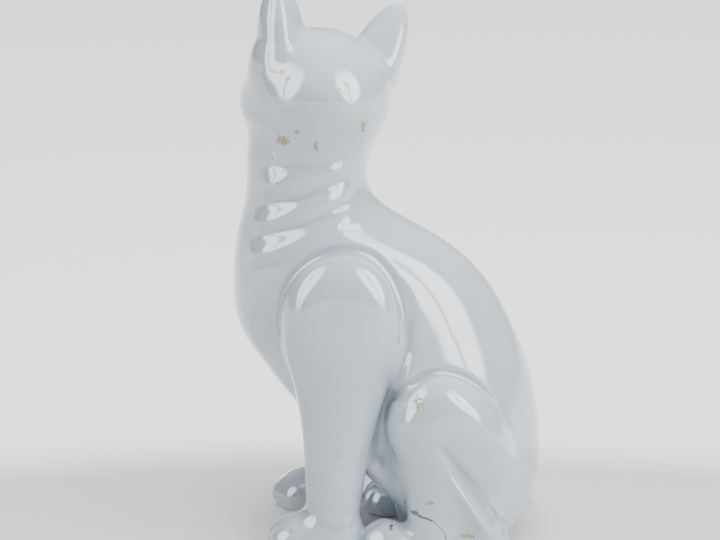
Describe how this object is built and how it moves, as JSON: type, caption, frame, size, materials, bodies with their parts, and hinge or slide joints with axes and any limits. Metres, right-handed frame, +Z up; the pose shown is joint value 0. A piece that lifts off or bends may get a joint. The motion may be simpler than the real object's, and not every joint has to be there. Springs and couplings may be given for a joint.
{
  "type": "ceramic cat figurine",
  "caption": "Seated ceramic cat with its head turned aside, slip-cast in separate castings that are luted together under one glossy pale glaze.",
  "frame": {"origin": "middle of the footprint's bounding box, on the surface the cat stands on", "axes": "+Z up, -Y the way the cat's body faces, +X the cat's left side"},
  "size_m": [0.1424, 0.1734, 0.3164],
  "materials": {
    "glaze": "glossy clear glaze, pale blue-grey white"
  },
  "bodies": {
    "root": {"body_casting": "glaze", "head_casting": "glaze", "ear_left": "glaze", "ear_right": "glaze", "foreleg_left": "glaze", "foreleg_right": "glaze", "haunch_left": "glaze", "haunch_right": "glaze", "hind_foot_left": "glaze", "hind_foot_right": "glaze", "tail": "glaze"}
  },
  "joints": []
}
